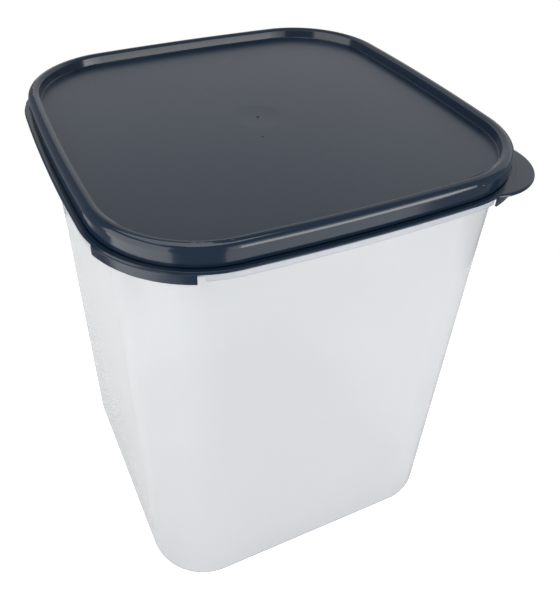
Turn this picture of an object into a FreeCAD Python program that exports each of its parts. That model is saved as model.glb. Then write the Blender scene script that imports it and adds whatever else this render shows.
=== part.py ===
import FreeCAD, Part
import math, os

# Square food storage container with a press-on seal, empty.
# One frame for both nodes: millimetres, +Z up, front face toward -Y,
# origin at the centre of the flat underside of the container.
V = FreeCAD.Vector

# ---------------------------------------------------------------- sizes (mm)
# container body: straight tapered walls with big rounded corners
BASE_HALF = 82.9        # half width of the body just above the base edge
TOP_HALF = 86.25        # half width of the body under the collar
BODY_CENTRE = 53.0      # corner centres of the body, from the middle
WALL = 1.8              # wall thickness
FLOOR = 2.0             # floor thickness
BASE_RADIUS = 5.6       # rounding between wall and floor
COLLAR_TOP = 217.4      # top of the collar, where the seal's flange sits
COLLAR_PLATE = 1.2      # thickness of the collar plate
COLLAR_HALF = 96.2      # half width of the collar
LIP_DROP = 3.55         # height of the turned-down collar lip
LIP_THICK = 1.3         # thickness of that lip
RIM_OUT = 92.2          # half width of the upright rim
RIM_IN = 90.6
RIM_TOP = 225.4         # the seal rests on this edge

# seal: the sides are bowed very slightly, the corners are wide arcs
SEAL_CENTRE = 47.2      # corner centres of the seal, from the middle
BOW = 867.0             # distance of a side arc's centre behind the middle
PANEL_TOP = 222.4       # sunk panel
PANEL_THICK = 1.5
FOOT_HALF = 88.6        # foot of the panel's upstand
TOP_Z = 226.25          # inner edge of the seal's rounded rim
CROWN_Z = 227.1         # highest line of the seal
BEAD_HALF = 94.05       # outer face of the upper tier
SHOULDER = 3.0          # rounding of the upper tier's outer shoulder
BEAD_LOW = 218.45       # lower edge of the upper tier, over a fine groove
GROOVE_Z = 217.95
TIER_Z = 218.35         # top of the lower tier (flange)
FLANGE_HALF = 96.85
SKIRT_HALF = 97.3       # skirts hang at the four corners
SKIRT_IN = 96.35
SKIRT_BOTTOM = 213.4
SKIRT_FROM, SKIRT_TO = 17.0, 67.8   # degrees inside each corner
LIP_TO, LIP_FROM = 16.4, 70.6       # ends of the collar lip at each corner
LIP_SLANT = 0.6         # the lip's lower edge stops this much short
TAB_CENTRE = 68.2       # pull tab at the +X -Y corner
TAB_RADIUS = 26.0
TAB_Z = 216.8
GATE_RADIUS = 11.5      # shallow dish of the moulding gate
GATE_DEPTH = 0.25


# ------------------------------------------------------------------- section
def rounded(points):
    """Closed section (w, z, radius) -> list of straight and arc pieces."""
    n = len(points)
    spans = []
    for i in range(n):
        p0, p1, p2 = points[i - 1], points[i], points[(i + 1) % n]
        r = p1[2] if len(p1) > 2 else 0.0
        a = (p0[0] - p1[0], p0[1] - p1[1])
        b = (p2[0] - p1[0], p2[1] - p1[1])
        la, lb = math.hypot(*a), math.hypot(*b)
        ua, ub = (a[0] / la, a[1] / la), (b[0] / lb, b[1] / lb)
        if r <= 0:
            spans.append((p1[:2], None, p1[:2]))
            continue
        half = math.acos(max(-1, min(1, ua[0] * ub[0] + ua[1] * ub[1]))) / 2
        t = r / math.tan(half)
        s = (p1[0] + ua[0] * t, p1[1] + ua[1] * t)
        e = (p1[0] + ub[0] * t, p1[1] + ub[1] * t)
        m = (ua[0] + ub[0], ua[1] + ub[1])
        lm = math.hypot(*m)
        d = r / math.sin(half)
        o = (p1[0] + m[0] / lm * d, p1[1] + m[1] / lm * d)
        mid = (o[0] - m[0] / lm * r, o[1] - m[1] / lm * r)
        spans.append((s, mid, e))
    pieces = []
    for i in range(n):
        s, mid, e = spans[i]
        if mid:
            pieces.append((s, mid, e))
        nxt = spans[(i + 1) % n][0]
        if math.hypot(nxt[0] - e[0], nxt[1] - e[1]) > 1e-6:
            pieces.append((e, None, nxt))
    return pieces


def section(points, origin, angle, shift):
    """Face of a section standing on a ray from origin; w - shift = radius."""
    ca, sa = math.cos(math.radians(angle)), math.sin(math.radians(angle))

    def at(p):
        return V(origin[0] + ca * (p[0] - shift),
                 origin[1] + sa * (p[0] - shift), p[1])

    edges = []
    for s, mid, e in rounded(points):
        if mid:
            edges.append(Part.Arc(at(s), at(mid), at(e)).toShape())
        else:
            edges.append(Part.makeLine(at(s), at(e)))
    return Part.Face(Part.Wire(edges))


# ------------------------------------------------- rounded-square path family
def family(centre, bow):
    """Corner centre, its shift from half width to radius, side arc angle."""
    if not bow:
        return centre, centre, 0.0
    shift = math.hypot(centre + bow, centre) - bow
    return centre, shift, math.degrees(math.atan2(centre, centre + bow))


BODY = (BODY_CENTRE, 0.0)
SEAL = (SEAL_CENTRE, BOW)


def corner_piece(points, kind, k, a0, a1):
    """Section swept round corner k from a0 to a1 degrees inside the corner."""
    c, shift, _ = family(*kind)
    ang = math.radians(45 + 90 * k)
    o = (c * math.sqrt(2) * math.cos(ang), c * math.sqrt(2) * math.sin(ang))
    f = section(points, o, 90 * k + a0, shift)
    return f.revolve(V(o[0], o[1], 0), V(0, 0, 1), a1 - a0)


def side_piece(points, kind, k):
    """Section swept along side k (0 = +X, 1 = +Y, 2 = -X, 3 = -Y)."""
    c, shift, al = family(*kind)
    a = math.radians(90 * k)
    n = (math.cos(a), math.sin(a))
    if kind[1]:
        o = (-n[0] * kind[1], -n[1] * kind[1])
        f = section(points, o, 90 * k - al, -kind[1])
        return f.revolve(V(o[0], o[1], 0), V(0, 0, 1), 2 * al)
    o = (n[1] * c, -n[0] * c)
    f = section(points, o, 90 * k, 0.0)
    return f.extrude(V(-n[1] * 2 * c, n[0] * 2 * c, 0))


def ring(points, kind):
    """Section swept all the way round the rounded square."""
    al = family(*kind)[2]
    out = []
    for k in range(4):
        out.append(side_piece(points, kind, k))
        out.append(corner_piece(points, kind, k, al, 90 - al))
    return fuse(out)


def outline(half, z, kind):
    """Closed wire of the rounded square of this half width."""
    c, shift, al = family(*kind)
    r = half - shift
    edges = []
    for k in range(4):
        a = math.radians(90 * k)
        n = (math.cos(a), math.sin(a))
        o = (c * (n[0] - n[1]), c * (n[1] + n[0]))

        def on(cx, cy, rad, deg):
            t = math.radians(deg)
            return V(cx + rad * math.cos(t), cy + rad * math.sin(t), z)

        if kind[1]:
            s = (-n[0] * kind[1], -n[1] * kind[1])
            big = half + kind[1]
            edges.append(Part.Arc(*[on(s[0], s[1], big, 90 * k + d)
                                    for d in (-al, 0, al)]).toShape())
        else:
            p0 = V(n[0] * half + n[1] * c, n[1] * half - n[0] * c, z)
            p1 = V(n[0] * half - n[1] * c, n[1] * half + n[0] * c, z)
            edges.append(Part.makeLine(p0, p1))
        edges.append(Part.Arc(*[on(o[0], o[1], r, 90 * k + d)
                                for d in (al, 45, 90 - al)]).toShape())
    return Part.Wire(edges)


def slab(half, z0, z1, kind):
    return Part.Face(outline(half, z0, kind)).extrude(V(0, 0, z1 - z0))


def fuse(shapes):
    s = shapes[0].multiFuse(shapes[1:]) if len(shapes) > 1 else shapes[0]
    return s.removeSplitter()


# ----------------------------------------------------------------- container
def lip_end(k, degrees, way):
    """Wedge that trims a lip end at corner k to a slant; way = past the end."""
    c, shift, _ = family(*SEAL)
    ang = math.radians(90 * k + degrees)
    out, along = (math.cos(ang), math.sin(ang)), (-math.sin(ang), math.cos(ang))
    mid = math.radians(45 + 90 * k)
    o = (c * math.sqrt(2) * math.cos(mid), c * math.sqrt(2) * math.sin(mid))
    top, low = COLLAR_TOP - COLLAR_PLATE, COLLAR_TOP - LIP_DROP
    near = COLLAR_HALF - LIP_THICK - 1 - shift
    corners = []
    for t, z in ((0, top), (-LIP_SLANT, low), (-LIP_SLANT, low - 1), (6, low - 1), (6, top)):
        corners.append(V(o[0] + out[0] * near + along[0] * t * way,
                         o[1] + out[1] * near + along[1] * t * way, z))
    face = Part.Face(Part.makePolygon(corners + corners[:1]))
    return face.extrude(V(out[0] * 4, out[1] * 4, 0))


def build_container():
    slope = (TOP_HALF - BASE_HALF) / (COLLAR_TOP - LIP_DROP - BASE_RADIUS)
    top_half = BASE_HALF + slope * (COLLAR_TOP - BASE_RADIUS)
    low_half = BASE_HALF - slope * BASE_RADIUS
    flat = BASE_HALF - BASE_RADIUS - 1.0      # where the floor slab takes over
    wall = ring([(flat, 0.0), (low_half, 0.0, BASE_RADIUS),
                 (top_half, COLLAR_TOP), (top_half - WALL, COLLAR_TOP),
                 (low_half - WALL + slope * FLOOR, FLOOR, BASE_RADIUS - WALL),
                 (flat, FLOOR)], BODY)
    floor = slab(flat + 0.2, 0.0, FLOOR, BODY)
    plate = slab(COLLAR_HALF, COLLAR_TOP - COLLAR_PLATE, COLLAR_TOP, SEAL).cut(
        slab(top_half - WALL, COLLAR_TOP - COLLAR_PLATE - 1, COLLAR_TOP + 1, BODY))
    rim = ring([(RIM_IN, COLLAR_TOP - 0.6), (RIM_OUT, COLLAR_TOP - 0.6),
                (RIM_OUT, RIM_TOP, 0.4), (RIM_IN, RIM_TOP, 0.4)], SEAL)
    lip = [(COLLAR_HALF - LIP_THICK, COLLAR_TOP - LIP_DROP, 0.3),
           (COLLAR_HALF, COLLAR_TOP - LIP_DROP, 0.5),
           (COLLAR_HALF, COLLAR_TOP - 0.2),
           (COLLAR_HALF - LIP_THICK, COLLAR_TOP - 0.2)]
    al = family(*SEAL)[2]
    lips = []
    for k in range(4):
        before = (k + 3) % 4
        strip = fuse([side_piece(lip, SEAL, k),
                      corner_piece(lip, SEAL, k, al, LIP_TO),
                      corner_piece(lip, SEAL, before, LIP_FROM, 90 - al)])
        strip = strip.cut(lip_end(k, LIP_TO, 1))
        lips.append(strip.cut(lip_end(before, LIP_FROM, -1)))
    return fuse([wall, floor, plate, rim] + lips)


# ---------------------------------------------------------------------- seal
def build_lid():
    inner = FOOT_HALF - 1.0
    body = ring([
        (inner, PANEL_TOP), (FOOT_HALF, PANEL_TOP, 0.5),
        (89.0, TOP_Z, 0.3), (90.6, CROWN_Z, 1.4),
        (BEAD_HALF, CROWN_Z, SHOULDER), (BEAD_HALF + 0.1, BEAD_LOW, 0.25),
        (93.5, BEAD_LOW), (93.5, GROOVE_Z), (94.6, GROOVE_Z),
        (94.65, TIER_Z, 0.1), (96.3, TIER_Z, 0.25),
        (FLANGE_HALF, 217.8, 0.2), (FLANGE_HALF, COLLAR_TOP),
        (92.4, COLLAR_TOP), (92.4, RIM_TOP), (90.4, RIM_TOP),
        (90.4, PANEL_TOP - PANEL_THICK), (inner, PANEL_TOP - PANEL_THICK)], SEAL)
    panel = slab(inner + 0.2, PANEL_TOP - PANEL_THICK, PANEL_TOP, SEAL)
    skirt = [(SKIRT_IN, SKIRT_BOTTOM, 0.2), (SKIRT_HALF, SKIRT_BOTTOM, 0.3),
             (SKIRT_HALF, 217.7, 0.25), (SKIRT_IN, 217.7)]
    skirts = [corner_piece(skirt, SEAL, k, SKIRT_FROM, SKIRT_TO) for k in range(4)]
    # pull tab: a disc under the corner, kept outside the collar
    disc = section([(0.0, TAB_Z), (TAB_RADIUS, TAB_Z, 0.5),
                    (TAB_RADIUS, TIER_Z, 0.9), (0.0, TIER_Z)], (0, 0), 0, 0)
    disc = disc.revolve(V(0, 0, 0), V(0, 0, 1), 360)
    disc.translate(V(TAB_CENTRE, -TAB_CENTRE, 0))
    tab = disc.cut(slab(SKIRT_IN, TAB_Z - 1, TIER_Z + 1, SEAL))
    lid = fuse([body, panel, tab] + skirts)
    # shallow dish and nub left by the moulding gate
    ball = (GATE_RADIUS ** 2 + GATE_DEPTH ** 2) / (2 * GATE_DEPTH)
    lid = lid.cut(Part.makeSphere(ball, V(0, 0, PANEL_TOP - GATE_DEPTH + ball)))
    nub = Part.makeCone(0.9, 0.5, 0.7, V(0, 0, PANEL_TOP - GATE_DEPTH - 0.3), V(0, 0, 1))
    return fuse([lid, nub])


os.makedirs("parts", exist_ok=True)
for name, make in (("container", build_container), ("lid", build_lid)):
    shape = make()
    solid = shape.Solids[0] if len(shape.Solids) == 1 else shape
    print(name, "solids", len(shape.Solids), "valid", solid.isValid(),
          "volume", round(solid.Volume), "faces", len(solid.Faces),
          "box", [round(v, 2) for v in (solid.BoundBox.XMin, solid.BoundBox.XMax,
                                        solid.BoundBox.YMin, solid.BoundBox.YMax,
                                        solid.BoundBox.ZMin, solid.BoundBox.ZMax)])
    solid.exportStep("parts/%s.step" % name)
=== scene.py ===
import math

import bmesh
import bpy
from mathutils import Matrix, Vector


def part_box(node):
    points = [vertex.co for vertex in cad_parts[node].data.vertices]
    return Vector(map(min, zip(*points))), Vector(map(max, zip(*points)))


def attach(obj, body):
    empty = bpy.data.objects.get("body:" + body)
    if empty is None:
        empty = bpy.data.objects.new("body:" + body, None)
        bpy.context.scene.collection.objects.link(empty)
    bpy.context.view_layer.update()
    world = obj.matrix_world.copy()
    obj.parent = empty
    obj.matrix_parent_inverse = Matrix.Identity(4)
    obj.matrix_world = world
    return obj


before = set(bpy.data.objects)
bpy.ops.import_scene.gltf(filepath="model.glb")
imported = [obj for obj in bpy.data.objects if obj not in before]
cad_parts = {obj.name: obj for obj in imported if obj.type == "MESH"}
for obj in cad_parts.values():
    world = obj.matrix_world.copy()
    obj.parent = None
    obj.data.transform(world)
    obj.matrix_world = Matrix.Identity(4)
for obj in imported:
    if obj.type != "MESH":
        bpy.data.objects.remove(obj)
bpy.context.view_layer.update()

# A tall square food container of milky plastic with a dark press-on seal.
# Metres, +Z up, front face toward -Y, the same frame as the solids.
MM = 0.001

TABLE_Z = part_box("container")[0].z - 0.1 * MM   # a hair under the container
CROWN_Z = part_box("lid")[1].z                    # highest line of the seal
PANEL_Z = CROWN_Z - 4.7 * MM                    # the sunk panel
COLLAR_Z = CROWN_Z - 13.5 * MM                  # just under the collar's lip

# ------------------------------------------------------------------- camera
VIEW_TURN = 25.78        # degrees the camera stands left of the front
VIEW_DOWN = 38.60        # degrees it looks down
VIEW_ROLL = 1.37         # degrees it is rolled about its own axis
VIEW_DISTANCE = 0.3743   # from the aim point
AIM = Vector((-0.0001, 0, 0.1284))
SENSOR = 36.0            # mm across
LENS = 41.51             # mm
SHIFT = (0.0440, -0.0380)
NEAREST = 10 * MM        # nothing closer to the camera is drawn


def make_camera():
    turn, down = math.radians(VIEW_TURN), math.radians(VIEW_DOWN)
    ahead = Vector((math.sin(turn) * math.cos(down),
                    math.cos(turn) * math.cos(down), -math.sin(down)))
    right = ahead.cross(Vector((0, 0, 1))).normalized()
    up = right.cross(ahead)
    axes = Matrix((right, up, -ahead)).transposed().to_4x4()
    axes = axes @ Matrix.Rotation(math.radians(VIEW_ROLL), 4, "Z")
    data = bpy.data.cameras.new("camera")
    data.sensor_width = SENSOR
    data.lens = LENS
    data.shift_x, data.shift_y = SHIFT
    data.clip_start = NEAREST
    camera = bpy.data.objects.new("camera", data)
    camera.matrix_world = Matrix.Translation(AIM - ahead * VIEW_DISTANCE) @ axes
    bpy.context.collection.objects.link(camera)
    bpy.context.scene.camera = camera


# ------------------------------------------------------- shader node helpers
RISING = (0.0, 1.0)
FALLING = (1.0, 0.0)
NOISE_RANGE = (0.3, 0.7)     # most of a noise texture's values lie in here
GRAIN_DETAIL = 2.0
GRAIN_STRENGTH = 0.05
GRAIN_DEPTH = 0.1 * MM


def new_material(name):
    material = bpy.data.materials.new(name)
    material.use_nodes = True
    tree = material.node_tree
    return material, tree, tree.nodes["Principled BSDF"]


def feed(tree, socket, value):
    """Link a socket to another node's output, or set it to a plain value."""
    if isinstance(value, bpy.types.NodeSocket):
        tree.links.new(value, socket)
    else:
        socket.default_value = value


def operate(tree, kind, operation, values):
    node = tree.nodes.new(kind)
    node.operation = operation
    for socket, value in zip(node.inputs, values):
        feed(tree, socket, value)
    return node


def reckon(tree, operation, *values):
    """Arithmetic on numbers."""
    return operate(tree, "ShaderNodeMath", operation, values).outputs["Value"]


def reckon_vector(tree, operation, *values):
    """Arithmetic on vectors; a dot product comes out as a number."""
    node = operate(tree, "ShaderNodeVectorMath", operation, values)
    return node.outputs["Value" if operation == "DOT_PRODUCT" else "Vector"]


def upright_part(tree, vector):
    """The Z of a place or of a direction."""
    node = tree.nodes.new("ShaderNodeSeparateXYZ")
    feed(tree, node.inputs["Vector"], vector)
    return node.outputs["Z"]


def span(tree, value, source, target):
    """Carry one range over to another; beyond its ends the result is held."""
    node = tree.nodes.new("ShaderNodeMapRange")
    ends = ("From Min", "From Max", "To Min", "To Max")
    for end, number in zip(ends, (*source, *target)):
        node.inputs[end].default_value = number
    feed(tree, node.inputs["Value"], value)
    return node.outputs["Result"]


def blend(tree, kind, share, first, second):
    """Mix two numbers (kind FLOAT) or two colours (kind RGBA)."""
    node = tree.nodes.new("ShaderNodeMix")
    node.data_type = kind
    for name, value in (("Factor", share), ("A", first), ("B", second)):
        feed(tree, node.inputs[name], value)
    return node.outputs["Result"]


def noise(tree, coords, scale, detail):
    node = tree.nodes.new("ShaderNodeTexNoise")
    for name, value in (("Vector", coords), ("Scale", scale), ("Detail", detail)):
        feed(tree, node.inputs[name], value)
    return node.outputs["Fac"]


def cloudy(tree, coords, scale, detail, tones):
    """A colour that drifts softly between two near tones."""
    node = tree.nodes.new("ShaderNodeValToRGB")
    for element, place, tone in zip(node.color_ramp.elements, NOISE_RANGE, tones):
        element.position = place
        element.color = tone
    feed(tree, node.inputs["Fac"], noise(tree, coords, scale, detail))
    return node.outputs["Color"]


def grained(tree, grain, normal=None):
    """Fine moulding grain as a bump, over the face's own normal or a given one."""
    node = tree.nodes.new("ShaderNodeBump")
    node.inputs["Strength"].default_value = GRAIN_STRENGTH
    node.inputs["Distance"].default_value = GRAIN_DEPTH
    feed(tree, node.inputs["Height"], grain)
    if normal is not None:
        feed(tree, node.inputs["Normal"], normal)
    return node.outputs["Normal"]


# ------------------------------------------------------------- milky plastic
MILKY_TONES = ((0.925, 0.94, 0.955, 1), (0.935, 0.95, 0.965, 1))
MILKY_CLOUD_SCALE = 14.0
MILKY_CLOUD_DETAIL = 2.0
MILKY_GRAIN_SCALE = 1800.0
MILKY_ROUGHNESS = (0.16, 0.19)
MILKY_IOR = 1.49
MILKY_TRANSMISSION = 0.49        # from 0.5 the export would take it for glass

# Painted shade: the collar is painted bluer for the dark seal close behind it.
COLLAR_PAINTED_SHADE = (0.70, 0.726, 0.78, 1)
COLLAR_SHADE_BAND = (COLLAR_Z - 0.2 * MM, COLLAR_Z + 0.2 * MM)
# Painted shade: the upper face of the container's floor is painted dark blue for the light
# that goes into the table.
BASE_PAINTED_SHADE = (0.10, 0.17, 0.30, 1)
BASE_SHADE_BAND = (3 * MM, 4 * MM)     # the container's floor is 2 mm thick
FACING_UP = (0.4, 0.8)           # Z of the normal, from no effect to the whole


def painted_shade_places(tree, coords, normal, colour):
    """Painted shade for light that is lost. The collar is painted bluer, for the
    dark seal close behind it. The upper face of the container's floor is painted
    dark blue, far darker than the plastic, for the light that goes into the table."""
    height = upright_part(tree, coords)
    # painted shade on the collar
    collar = span(tree, height, COLLAR_SHADE_BAND, RISING)
    colour = blend(tree, "RGBA", collar, colour, COLLAR_PAINTED_SHADE)
    low = span(tree, height, BASE_SHADE_BAND, FALLING)
    upward = span(tree, upright_part(tree, normal), FACING_UP, RISING)
    # painted shade on the upper face of the container's floor
    base_shade = reckon(tree, "MULTIPLY", low, upward)
    return blend(tree, "RGBA", base_shade, colour, BASE_PAINTED_SHADE)


def milky_plastic():
    """Natural polypropylene: blurred see-through and a milky body."""
    material, tree, shader = new_material("milky_plastic_look")
    texture = tree.nodes.new("ShaderNodeTexCoord")
    coords, normal = texture.outputs["Object"], texture.outputs["Normal"]
    cloud = cloudy(tree, coords, MILKY_CLOUD_SCALE, MILKY_CLOUD_DETAIL, MILKY_TONES)
    grain = noise(tree, coords, MILKY_GRAIN_SCALE, GRAIN_DETAIL)
    # painted shade on the collar and on the upper face of the container's floor
    colour = painted_shade_places(tree, coords, normal, cloud)
    feed(tree, shader.inputs["Base Color"], colour)
    feed(tree, shader.inputs["Roughness"], span(tree, grain, NOISE_RANGE, MILKY_ROUGHNESS))
    feed(tree, shader.inputs["Normal"], grained(tree, grain))
    shader.inputs["IOR"].default_value = MILKY_IOR
    shader.inputs["Transmission Weight"].default_value = MILKY_TRANSMISSION
    return material


# -------------------------------------------------------------- seal plastic
SEAL_TONES = ((0.0072, 0.0170, 0.034, 1), (0.0080, 0.0190, 0.037, 1))
SEAL_CLOUD_SCALE = 30.0
SEAL_CLOUD_DETAIL = 3.0
SEAL_GRAIN_SCALE = 2500.0
RIM_ROUGHNESS = (0.11, 0.14)
PANEL_ROUGHNESS = (0.27, 0.33)
SEAL_IOR = 1.5

PANEL_REACH = 0.45 * MM          # satin this far above and below the panel
FACING_LEVEL = (0.85, 0.95)      # Z of the normal, from polished to satin
WALL_FOOT = 0.3 * MM             # the inner wall starts this far over the panel
FACING_IN = -0.03                # place along the normal; the wall is below this
WALL_LEAN = 0.195                # added to the Z of the inner wall's normal


def leaning_wall(tree, coords, height, normal):
    """Shade the rim's inner wall as if it leaned out further than the solid
    does, so that it catches the lamps as the real one does."""
    outward = reckon_vector(tree, "MULTIPLY", coords, (1, 1, 0))
    along = reckon_vector(tree, "DOT_PRODUCT", outward, normal)
    inward = reckon(tree, "LESS_THAN", along, FACING_IN)
    above = reckon(tree, "GREATER_THAN", height, PANEL_Z + WALL_FOOT)
    wall = reckon(tree, "MULTIPLY", inward, above)
    lift = tree.nodes.new("ShaderNodeCombineXYZ")
    feed(tree, lift.inputs["Z"], reckon(tree, "MULTIPLY", wall, WALL_LEAN))
    lifted = reckon_vector(tree, "ADD", normal, lift.outputs["Vector"])
    return reckon_vector(tree, "NORMALIZE", lifted)


def seal_plastic():
    """Dark navy plastic: satin on the sunk panel, glossier on the rim."""
    material, tree, shader = new_material("seal_plastic_look")
    texture = tree.nodes.new("ShaderNodeTexCoord")
    coords, normal = texture.outputs["Object"], texture.outputs["Normal"]
    height = upright_part(tree, coords)
    near = reckon(tree, "COMPARE", height, PANEL_Z, PANEL_REACH)
    level = span(tree, upright_part(tree, normal), FACING_LEVEL, RISING)
    satin = reckon(tree, "MULTIPLY", near, level)
    grain = noise(tree, coords, SEAL_GRAIN_SCALE, GRAIN_DETAIL)
    rim = span(tree, grain, NOISE_RANGE, RIM_ROUGHNESS)
    panel = span(tree, grain, NOISE_RANGE, PANEL_ROUGHNESS)
    cloud = cloudy(tree, coords, SEAL_CLOUD_SCALE, SEAL_CLOUD_DETAIL, SEAL_TONES)
    leaning = leaning_wall(tree, coords, height, normal)
    feed(tree, shader.inputs["Base Color"], cloud)
    feed(tree, shader.inputs["Roughness"], blend(tree, "FLOAT", satin, rim, panel))
    feed(tree, shader.inputs["Normal"], grained(tree, grain, leaning))
    shader.inputs["IOR"].default_value = SEAL_IOR
    return material


def dress_nodes():
    for name, material in (("container", milky_plastic()), ("lid", seal_plastic())):
        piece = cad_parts[name]
        for slot in piece.material_slots:
            slot.material = material


# ------------------------------------------------------------------- detail
PIP_PLACE = (-6.5 * MM, -18.8 * MM)      # beside the moulding gate
PIP_RADIUS = 0.55 * MM
PIP_HEIGHT = 0.3 * MM
PIP_SEGMENTS = 24
PIP_RINGS = 12


def make_pip():
    """Small moulded pip on the panel: the upper half shows as a low dome."""
    shape = bmesh.new()
    bmesh.ops.create_uvsphere(shape, u_segments=PIP_SEGMENTS, v_segments=PIP_RINGS, radius=1.0)
    bmesh.ops.scale(shape, vec=(PIP_RADIUS, PIP_RADIUS, PIP_HEIGHT), verts=shape.verts)
    data = bpy.data.meshes.new("panel_pip")
    shape.to_mesh(data)
    shape.free()
    data.shade_smooth()
    data.materials.append(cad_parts["lid"].material_slots[0].material)
    pip = bpy.data.objects.new("panel_pip", data)
    pip.location = (*PIP_PLACE, PANEL_Z)
    bpy.context.collection.objects.link(pip)
    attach(pip, "root")


# -------------------------------------------------------- table and backdrop
TABLE_HALF = 0.30                # the table ends short of the lamps beside it
TABLE_COLOUR = (0.86, 0.86, 0.86, 1)
TABLE_GLOW = 0.60                # brings the table nearer to white
WORLD_COLOUR = (0.97, 0.985, 1.0, 1)
WORLD_LIGHT = 0.27
WHITE = (1, 1, 1, 1)


def split_by_camera(tree, hidden, seen, output):
    """The camera sees one shader, and every other ray meets the hidden one."""
    path = tree.nodes.new("ShaderNodeLightPath")
    mix = tree.nodes.new("ShaderNodeMixShader")
    tree.links.new(path.outputs["Is Camera Ray"], mix.inputs["Fac"])
    tree.links.new(hidden, mix.inputs[1])
    tree.links.new(seen, mix.inputs[2])
    tree.links.new(mix.outputs["Shader"], tree.nodes[output].inputs["Surface"])


def table_look():
    """Pale and plain; its glow is only for the camera and lights nothing."""
    material, tree, shader = new_material("floor_look")
    tree.nodes.remove(shader)
    plain = tree.nodes.new("ShaderNodeBsdfDiffuse")
    plain.inputs["Color"].default_value = TABLE_COLOUR
    glow = tree.nodes.new("ShaderNodeEmission")
    glow.inputs["Strength"].default_value = TABLE_GLOW
    both = tree.nodes.new("ShaderNodeAddShader")
    tree.links.new(plain.outputs["BSDF"], both.inputs[0])
    tree.links.new(glow.outputs["Emission"], both.inputs[1])
    split_by_camera(tree, plain.outputs["BSDF"], both.outputs["Shader"], "Material Output")
    return material


def make_floor():
    signs = ((-1, -1), (1, -1), (1, 1), (-1, 1))
    corners = [(x * TABLE_HALF, y * TABLE_HALF, TABLE_Z) for x, y in signs]
    data = bpy.data.meshes.new("floor")
    data.from_pydata(corners, [], [(0, 1, 2, 3)])
    floor = bpy.data.objects.new("floor", data)
    bpy.context.collection.objects.link(floor)
    data.materials.append(table_look())


def make_world():
    """White to the camera, and a dimmer light on the object."""
    world = bpy.data.worlds.new("studio")
    bpy.context.scene.world = world
    world.use_nodes = True
    tree = world.node_tree
    light = tree.nodes["Background"]
    light.inputs["Color"].default_value = WORLD_COLOUR
    light.inputs["Strength"].default_value = WORLD_LIGHT
    white = tree.nodes.new("ShaderNodeBackground")
    white.inputs["Color"].default_value = WHITE
    split_by_camera(tree, light.outputs["Background"], white.outputs["Background"],
                    "World Output")


# -------------------------------------------------------------------- lamps
RIM_HEIGHT = 0.22        # upright lamps are aimed as seen from the seal's rim
LAMP_AWAY = 1.2          # from the container's axis to an upright lamp
CEILING = 1.42           # height of the lamps that look straight down
DOWN = Vector((0, 0, -1))


def add_lamp(name, place, towards, wide, tall, strength):
    """Oblong lamp, just as bright for one strength whatever its size."""
    data = bpy.data.lights.new(name, "AREA")
    data.shape = "RECTANGLE"
    data.size, data.size_y = wide, tall
    data.energy = strength * math.pi * wide * tall
    lamp = bpy.data.objects.new(name, data)
    lamp.location = place
    lamp.rotation_euler = towards.to_track_quat("-Z", "Y").to_euler()
    lamp.visible_camera = False
    bpy.context.collection.objects.link(lamp)


def soft_box(name, turn, spread, low, high, strength):
    """Upright lamp. Turn is round from the front and spread its width; low and
    high are its lower and upper edge, seen from the rim. All are in degrees."""
    out = Vector((math.sin(math.radians(turn)), -math.cos(math.radians(turn)), 0))
    bottom = LAMP_AWAY * math.tan(math.radians(low))
    top = LAMP_AWAY * math.tan(math.radians(high))
    place = out * LAMP_AWAY + Vector((0, 0, RIM_HEIGHT + (bottom + top) / 2))
    wide = 2 * LAMP_AWAY * math.tan(math.radians(spread / 2))
    add_lamp(name, place, -out, wide, top - bottom, strength)


def make_lights():
    soft_box("front_right_core", turn=25, spread=34, low=-14, high=12, strength=4.5)
    soft_box("front_right_wide", turn=21, spread=42, low=-38, high=28, strength=1.3)
    add_lamp("top_front_light", Vector((0.0, -0.36, CEILING)), DOWN,
             wide=0.8, tall=0.3, strength=3.0)
    soft_box("left_light", turn=-78, spread=62, low=-38, high=40, strength=2.1)
    soft_box("right_back_light", turn=115, spread=60, low=5, high=55, strength=0.54)
    soft_box("back_light", turn=165, spread=40, low=0, high=50, strength=0.50)
    add_lamp("top_light", Vector((-0.35, 0.15, CEILING)), DOWN,
             wide=1.0, tall=1.0, strength=2.0)


# ---------------------------------------------------------------------- all
DIFFUSE_BOUNCES = 8      # for light that wanders between the milky walls

make_camera()
dress_nodes()
make_pip()
make_floor()
make_world()
make_lights()
bpy.context.scene.view_settings.view_transform = "Standard"
bpy.context.scene.cycles.diffuse_bounces = DIFFUSE_BOUNCES
